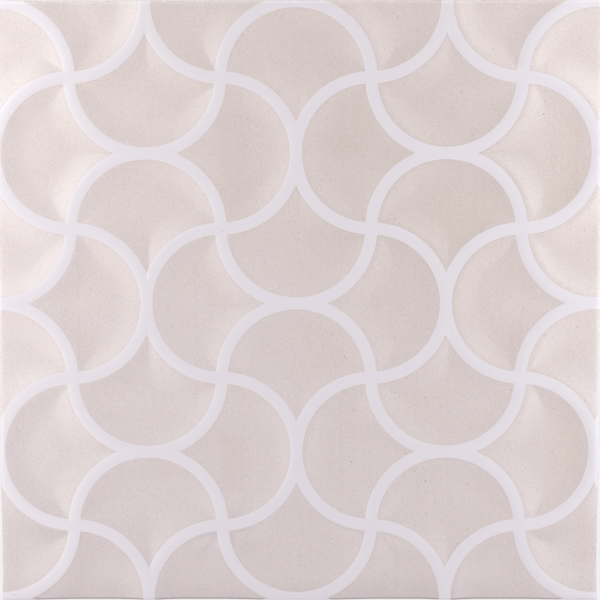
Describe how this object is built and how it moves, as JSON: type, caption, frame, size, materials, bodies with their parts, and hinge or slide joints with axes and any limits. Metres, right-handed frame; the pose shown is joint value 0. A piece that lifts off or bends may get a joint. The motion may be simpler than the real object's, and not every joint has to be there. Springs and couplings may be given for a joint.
{
  "type": "embossed tile",
  "caption": "Square embossed ceramic tile with dished fish scales turned by quarters, beige cells between raised white ridges, and a keyed back.",
  "frame": {"origin": "middle of the back, on the plane that the tile rests on", "axes": "+Z out of the embossed face, +X to the right and +Y to the top of the face as pictured"},
  "size_m": [0.3, 0.3, 0.01],
  "materials": {
    "glazed_body": "satin glaze, beige scales with white ridges, over a pale fired body"
  },
  "bodies": {
    "root": {"tile": "glazed_body"}
  },
  "joints": []
}
